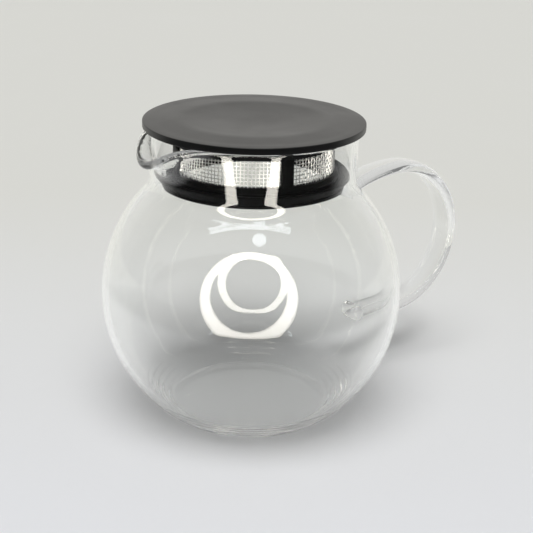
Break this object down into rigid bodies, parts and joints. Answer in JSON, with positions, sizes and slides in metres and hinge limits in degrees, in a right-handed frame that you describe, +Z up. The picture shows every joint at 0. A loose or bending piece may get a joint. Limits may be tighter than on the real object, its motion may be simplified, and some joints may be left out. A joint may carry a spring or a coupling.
{
  "type": "teapot",
  "caption": "Ball-shaped clear glass teapot with a pulled spout, a strap handle and a black lift-out lid that carries a wire mesh strainer cage with a lip seal.",
  "frame": {"origin": "centre of the flat base, on the table", "axes": "+Z up along the pot's axis, +X towards the handle, spout towards -X"},
  "size_m": [0.1672, 0.12, 0.1207],
  "materials": {
    "clear_glass": "clear, fire-polished",
    "black_plastic": "fine matte moulded",
    "steel_mesh": "bright drawn wire",
    "black_silicone": "satin"
  },
  "bodies": {
    "pot": {"glass_body": "clear_glass", "glass_handle": "clear_glass"},
    "seal": {"seal_ring": "black_silicone"},
    "lid": {"lid_cap": "black_plastic", "strainer_frame": "black_plastic", "mesh_uprights": "steel_mesh", "mesh_hoops": "steel_mesh"}
  },
  "joints": [
    {"name": "lid_lift", "type": "slide", "parent": "pot", "child": "seal", "axis": [0, 0, 1], "range_m": [0, 0.06]},
    {"name": "lid_turn", "type": "hinge", "parent": "seal", "child": "lid", "pos_m": [0, 0, 0.1], "axis": [0, 0, 1], "continuous": true}
  ]
}
